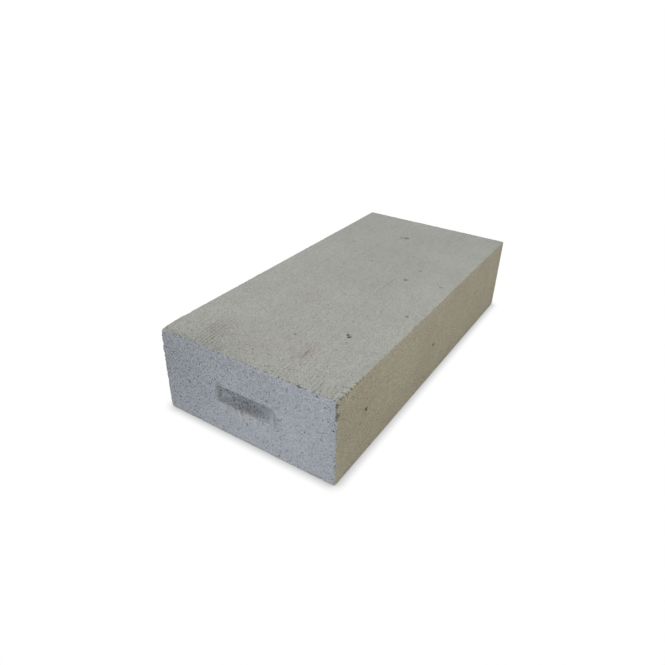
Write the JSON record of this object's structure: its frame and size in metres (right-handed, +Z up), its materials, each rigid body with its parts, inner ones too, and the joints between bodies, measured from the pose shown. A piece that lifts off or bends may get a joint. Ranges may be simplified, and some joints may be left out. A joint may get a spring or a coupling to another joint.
{
  "type": "trench block",
  "caption": "Solid rectangular foundation block of pale grey aerated concrete, with a shallow milled hand grip in each end face.",
  "frame": {"origin": "centre of the bottom bed face, on the surface that the block lies on", "axes": "+X along the length, away from the end whose hand grip the picture shows; +Y across the width, away from the side that it shows; +Z up through the height"},
  "size_m": [0.62, 0.3, 0.14],
  "materials": {
    "aerated_concrete": "matt, finely porous"
  },
  "bodies": {
    "root": {"trench_block": "aerated_concrete"}
  },
  "joints": []
}
